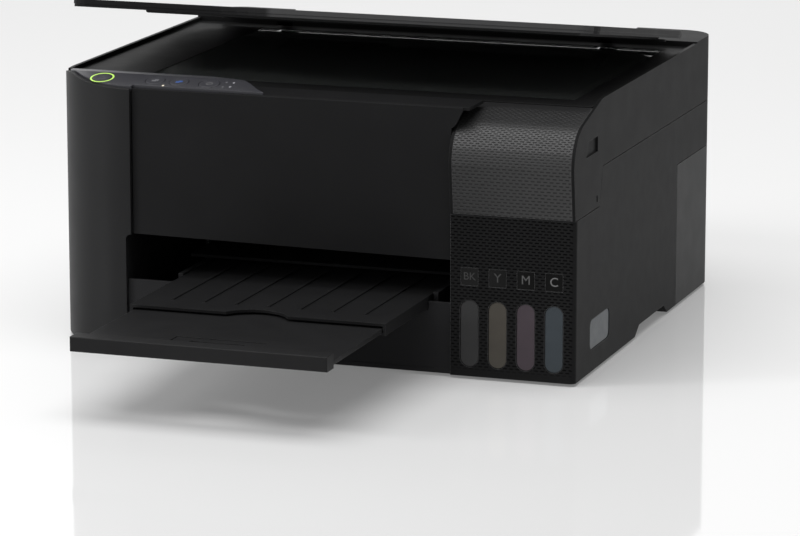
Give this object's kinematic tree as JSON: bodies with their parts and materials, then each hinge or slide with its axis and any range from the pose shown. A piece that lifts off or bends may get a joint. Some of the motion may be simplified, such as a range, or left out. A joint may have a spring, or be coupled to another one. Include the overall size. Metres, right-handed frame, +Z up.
{
  "type": "inkjet printer",
  "caption": "Flatbed all-in-one inkjet printer with refillable side ink tanks, lift-up scanner unit, part-open lid and pulled-out paper tray.",
  "frame": {"origin": "on the table under the middle of the casing, at the centre foot", "axes": "+X to the right seen from the front, +Y to the back, +Z up"},
  "size_m": [0.375, 0.5295, 0.2288],
  "materials": {
    "casing": "fine satin grain",
    "front_panel": "fine satin grain",
    "hood": "pressed brick pattern",
    "inner": "plain moulded",
    "control": "satin",
    "button": "satin",
    "lid": "fine satin grain",
    "pad": "foam sheet",
    "bed_glass": "polished",
    "tank_black": "translucent",
    "tank_yellow": "translucent",
    "tank_magenta": "translucent",
    "tank_cyan": "translucent",
    "cap": "moulded",
    "label": "printed",
    "rubber": "matte",
    "steel": "ground",
    "sheet_metal": "zinc plated",
    "white_plastic": "moulded",
    "grey_plastic": "moulded",
    "board": "solder mask"
  },
  "bodies": {
    "base": {"base_chassis": "inner", "left_casing": "casing", "right_casing": "casing", "rear_casing": "casing", "rubber_feet": "rubber", "casing_screws": "steel", "ink_labels": "label", "ink_tubes": "grey_plastic", "main_frame": "sheet_metal", "guide_shaft": "steel", "carriage_belt": "rubber", "carriage_motor": "steel", "feed_motor": "steel", "platen": "inner", "star_wheel_bar": "inner", "capping_station": "grey_plastic", "waste_ink_box": "white_plastic", "main_board": "board", "power_supply": "inner", "feeder_base": "inner", "ink_tank_black": "tank_black", "ink_tank_yellow": "tank_yellow", "ink_tank_magenta": "tank_magenta", "ink_tank_cyan": "tank_cyan"},
    "scanner_unit": {"scanner_frame": "casing", "front_panel": "front_panel", "control_panel": "control", "tank_hood": "hood", "scanner_tub": "inner", "scan_glass": "bed_glass", "scan_rod": "steel", "scanner_hinges": "steel"},
    "lid": {"lid_shell": "lid", "lid_pad": "pad", "lid_hinges": "inner"},
    "scan_carriage": {"scan_carriage": "inner"},
    "power_button": {"power_button": "button"},
    "mono_copy_button": {"mono_copy_button": "button"},
    "color_copy_button": {"color_copy_button": "button"},
    "stop_button": {"stop_button": "button"},
    "output_tray": {"output_tray": "inner"},
    "tray_extension": {"tray_extension": "casing"},
    "tray_stopper": {"tray_stopper": "inner"},
    "print_carriage": {"print_carriage": "inner"},
    "drive_pulley": {"drive_pulley": "white_plastic"},
    "tension_pulley": {"tension_pulley": "white_plastic"},
    "feed_roller": {"feed_roller": "rubber"},
    "drive_pinion": {"drive_pinion": "white_plastic"},
    "idler_gear": {"idler_gear": "white_plastic"},
    "exit_roller": {"exit_roller": "rubber"},
    "pickup_roller": {"pickup_roller": "rubber"},
    "paper_support": {"paper_support": "casing"},
    "support_extension": {"support_extension": "inner"},
    "feeder_guard": {"feeder_guard": "inner"},
    "edge_guide_left": {"edge_guide_left": "inner"},
    "edge_guide_right": {"edge_guide_right": "inner"},
    "tank_cap_black": {"tank_cap_black": "cap"},
    "tank_cap_yellow": {"tank_cap_yellow": "cap"},
    "tank_cap_magenta": {"tank_cap_magenta": "cap"},
    "tank_cap_cyan": {"tank_cap_cyan": "cap"}
  },
  "joints": [
    {"name": "scanner_lift", "type": "hinge", "parent": "base", "child": "scanner_unit", "pos_m": [0, 0.1745, 0.171], "axis": [-1, 0, 0], "range_deg": [0, 35]},
    {"name": "lid_open", "type": "hinge", "parent": "scanner_unit", "child": "lid", "pos_m": [0, 0.146, 0.1784], "axis": [-1, 0, 0], "range_deg": [-9.4, 62]},
    {"name": "scan_travel", "type": "slide", "parent": "scanner_unit", "child": "scan_carriage", "axis": [1, 0, 0], "range_m": [-0.275, 0]},
    {"name": "power_press", "type": "slide", "parent": "scanner_unit", "child": "power_button", "axis": [0, 0.2079, -0.9781], "range_m": [0, 0.0008], "stiffness_N_per_m": 400},
    {"name": "mono_copy_press", "type": "slide", "parent": "scanner_unit", "child": "mono_copy_button", "axis": [0, 0.2079, -0.9781], "range_m": [0, 0.0008], "stiffness_N_per_m": 400},
    {"name": "color_copy_press", "type": "slide", "parent": "scanner_unit", "child": "color_copy_button", "axis": [0, 0.2079, -0.9781], "range_m": [0, 0.0008], "stiffness_N_per_m": 400},
    {"name": "stop_press", "type": "slide", "parent": "scanner_unit", "child": "stop_button", "axis": [0, 0.2079, -0.9781], "range_m": [0, 0.0008], "stiffness_N_per_m": 400},
    {"name": "tray_pull", "type": "slide", "parent": "base", "child": "output_tray", "axis": [0, 1, 0], "range_m": [0, 0.093]},
    {"name": "extension_pull", "type": "slide", "parent": "output_tray", "child": "tray_extension", "axis": [0, 1, 0], "range_m": [0, 0.086]},
    {"name": "stopper_flip", "type": "hinge", "parent": "tray_extension", "child": "tray_stopper", "pos_m": [0, -0.331, 0.0472], "axis": [1, 0, 0], "range_deg": [0, 80]},
    {"name": "carriage_travel", "type": "slide", "parent": "base", "child": "print_carriage", "axis": [1, 0, 0], "range_m": [-0.252, 0]},
    {"name": "drive_pulley_spin", "type": "hinge", "parent": "base", "child": "drive_pulley", "pos_m": [-0.16, 0.095, 0.112], "axis": [0, 1, 0], "range_deg": [0, 2156]},
    {"name": "tension_pulley_spin", "type": "hinge", "parent": "base", "child": "tension_pulley", "pos_m": [0.165, 0.095, 0.112], "axis": [0, 1, 0], "range_deg": [0, 2156]},
    {"name": "feed_spin", "type": "hinge", "parent": "base", "child": "feed_roller", "pos_m": [0, 0.066, 0.066], "axis": [1, 0, 0], "continuous": true},
    {"name": "idler_spin", "type": "hinge", "parent": "base", "child": "idler_gear", "pos_m": [0, 0.025, 0.06483], "axis": [1, 0, 0], "continuous": true},
    {"name": "exit_spin", "type": "hinge", "parent": "base", "child": "exit_roller", "pos_m": [0, -0.004, 0.064], "axis": [1, 0, 0], "continuous": true},
    {"name": "pinion_spin", "type": "hinge", "parent": "base", "child": "drive_pinion", "pos_m": [0, 0.04994, 0.04306], "axis": [1, 0, 0], "continuous": true},
    {"name": "pickup_spin", "type": "hinge", "parent": "base", "child": "pickup_roller", "pos_m": [0, 0.14365, 0.10691], "axis": [1, 0, 0], "continuous": true},
    {"name": "support_tilt", "type": "hinge", "parent": "base", "child": "paper_support", "pos_m": [0, 0.1813, 0.1065], "axis": [-1, 0, 0], "range_deg": [0, 20]},
    {"name": "support_pull", "type": "slide", "parent": "paper_support", "child": "support_extension", "axis": [0, 0, 1], "range_m": [0, 0.04]},
    {"name": "guard_flip", "type": "hinge", "parent": "base", "child": "feeder_guard", "pos_m": [0, 0.1685, 0.163], "axis": [1, 0, 0], "range_deg": [0, 90]},
    {"name": "left_guide_slide", "type": "slide", "parent": "base", "child": "edge_guide_left", "axis": [1, 0, 0], "range_m": [0, 0.05]},
    {"name": "right_guide_slide", "type": "slide", "parent": "base", "child": "edge_guide_right", "axis": [1, 0, 0], "range_m": [-0.05, 0]},
    {"name": "cap_black_open", "type": "hinge", "parent": "base", "child": "tank_cap_black", "pos_m": [0.1164, -0.126, 0.1008], "axis": [-1, 0, 0], "range_deg": [0, 100]},
    {"name": "cap_yellow_open", "type": "hinge", "parent": "base", "child": "tank_cap_yellow", "pos_m": [0.1354, -0.126, 0.1008], "axis": [-1, 0, 0], "range_deg": [0, 100]},
    {"name": "cap_magenta_open", "type": "hinge", "parent": "base", "child": "tank_cap_magenta", "pos_m": [0.1544, -0.126, 0.1008], "axis": [-1, 0, 0], "range_deg": [0, 100]},
    {"name": "cap_cyan_open", "type": "hinge", "parent": "base", "child": "tank_cap_cyan", "pos_m": [0.1734, -0.126, 0.1008], "axis": [-1, 0, 0], "range_deg": [0, 100]}
  ],
  "couplings": [
    {"joint": "drive_pulley_spin", "follows": "carriage_travel", "rad_per_m": -149.25},
    {"joint": "tension_pulley_spin", "follows": "carriage_travel", "rad_per_m": -149.25},
    {"joint": "idler_spin", "follows": "feed_spin", "ratio": -1.1579},
    {"joint": "exit_spin", "follows": "feed_spin", "ratio": 2.2},
    {"joint": "pinion_spin", "follows": "feed_spin", "ratio": -3.6667},
    {"joint": "right_guide_slide", "follows": "left_guide_slide", "ratio": -1}
  ]
}
